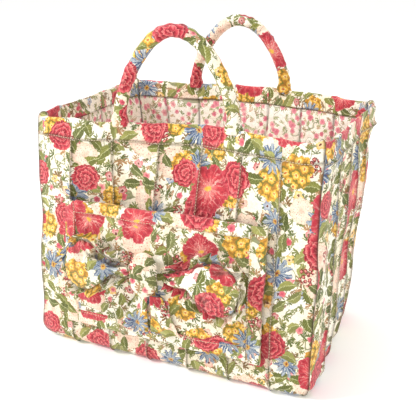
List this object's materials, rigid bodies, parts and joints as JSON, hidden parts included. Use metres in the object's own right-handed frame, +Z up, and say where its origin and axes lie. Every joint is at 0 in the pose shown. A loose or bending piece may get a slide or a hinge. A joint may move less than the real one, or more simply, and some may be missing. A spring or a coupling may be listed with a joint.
{
  "type": "knitting bag",
  "caption": "Open-topped quilted cotton craft bag with two stuffed loop handles, a lined inside and a bound patch pocket with a sewn fabric bow.",
  "frame": {"origin": "middle of the underside's bounding box, on the surface that the bag stands on", "axes": "+Z up, -Y out of the front with the pocket, +X to the right seen from the front, metres"},
  "size_m": [0.3704, 0.3324, 0.3972],
  "materials": {
    "printed_cotton": "plain-woven quilting cotton, ivory ground with a dense garden-flower print",
    "lining_cotton": "plain-woven cotton, cream ground with small rosebuds and sprigs",
    "binding_cotton": "folded strip of the printed cotton, edge-stitched",
    "handle_cotton": "printed cotton sewn into a tube, slightly puckered along its seam",
    "bow_cotton": "gathered printed cotton with frilled edges",
    "wadding": "fluffy bonded wadding, hidden between the cloths",
    "handle_filling": "packed cord filling, whose round ends show the printed cotton over them",
    "base_board": "stiff board, hidden in the base"
  },
  "bodies": {
    "bag": {"outer_front": "printed_cotton", "outer_right": "printed_cotton", "outer_back": "printed_cotton", "outer_left": "printed_cotton", "outer_base": "printed_cotton", "facing_front": "printed_cotton", "facing_right": "printed_cotton", "facing_back": "printed_cotton", "facing_left": "printed_cotton", "wadding_front": "wadding", "wadding_right": "wadding", "wadding_back": "wadding", "wadding_left": "wadding", "wadding_base": "wadding", "lining_front": "lining_cotton", "lining_right": "lining_cotton", "lining_back": "lining_cotton", "lining_left": "lining_cotton", "lining_base": "lining_cotton", "base_board": "base_board", "front_handle_tab_left": "handle_cotton", "front_handle_tab_right": "handle_cotton", "back_handle_tab_left": "handle_cotton", "back_handle_tab_right": "handle_cotton", "pocket_lining": "lining_cotton", "pocket_panel": "printed_cotton", "pocket_top_binding": "binding_cotton", "pocket_bottom_binding": "binding_cotton", "pocket_left_binding": "binding_cotton", "pocket_right_binding": "binding_cotton", "bow_knot": "bow_cotton"},
    "front_handle": {"front_handle_sleeve": "handle_cotton", "front_handle_core": "handle_filling"},
    "back_handle": {"back_handle_sleeve": "handle_cotton", "back_handle_core": "handle_filling"},
    "bow_left_loop": {"bow_left_loop": "bow_cotton"},
    "bow_right_loop": {"bow_right_loop": "bow_cotton"},
    "bow_left_tail": {"bow_left_tail": "bow_cotton"},
    "bow_right_tail": {"bow_right_tail": "bow_cotton"}
  },
  "joints": [
    {"name": "front_handle_swing", "type": "hinge", "parent": "bag", "child": "front_handle", "pos_m": [0.00377, -0.09698, 0.2958], "axis": [0.991, 0.1342, 0], "range_deg": [-90, 90]},
    {"name": "back_handle_swing", "type": "hinge", "parent": "bag", "child": "back_handle", "pos_m": [-0.02609, 0.15443, 0.2958], "axis": [0.9996, 0.0265, 0], "range_deg": [-90, 90]},
    {"name": "bow_left_loop_lift", "type": "hinge", "parent": "bag", "child": "bow_left_loop", "pos_m": [-0.03667, -0.14664, 0.126], "axis": [0, 0, 1], "range_deg": [0, 40]},
    {"name": "bow_right_loop_lift", "type": "hinge", "parent": "bag", "child": "bow_right_loop", "pos_m": [0.01651, -0.14623, 0.126], "axis": [0, 0, -1], "range_deg": [0, 40]},
    {"name": "bow_left_tail_lift", "type": "hinge", "parent": "bag", "child": "bow_left_tail", "pos_m": [-0.0202, -0.14052, 0.0955], "axis": [-0.9999, 0.0121, 0], "range_deg": [0, 85]},
    {"name": "bow_right_tail_lift", "type": "hinge", "parent": "bag", "child": "bow_right_tail", "pos_m": [-0.00208, -0.14076, 0.0955], "axis": [-0.9999, 0.0121, 0], "range_deg": [0, 85]}
  ]
}
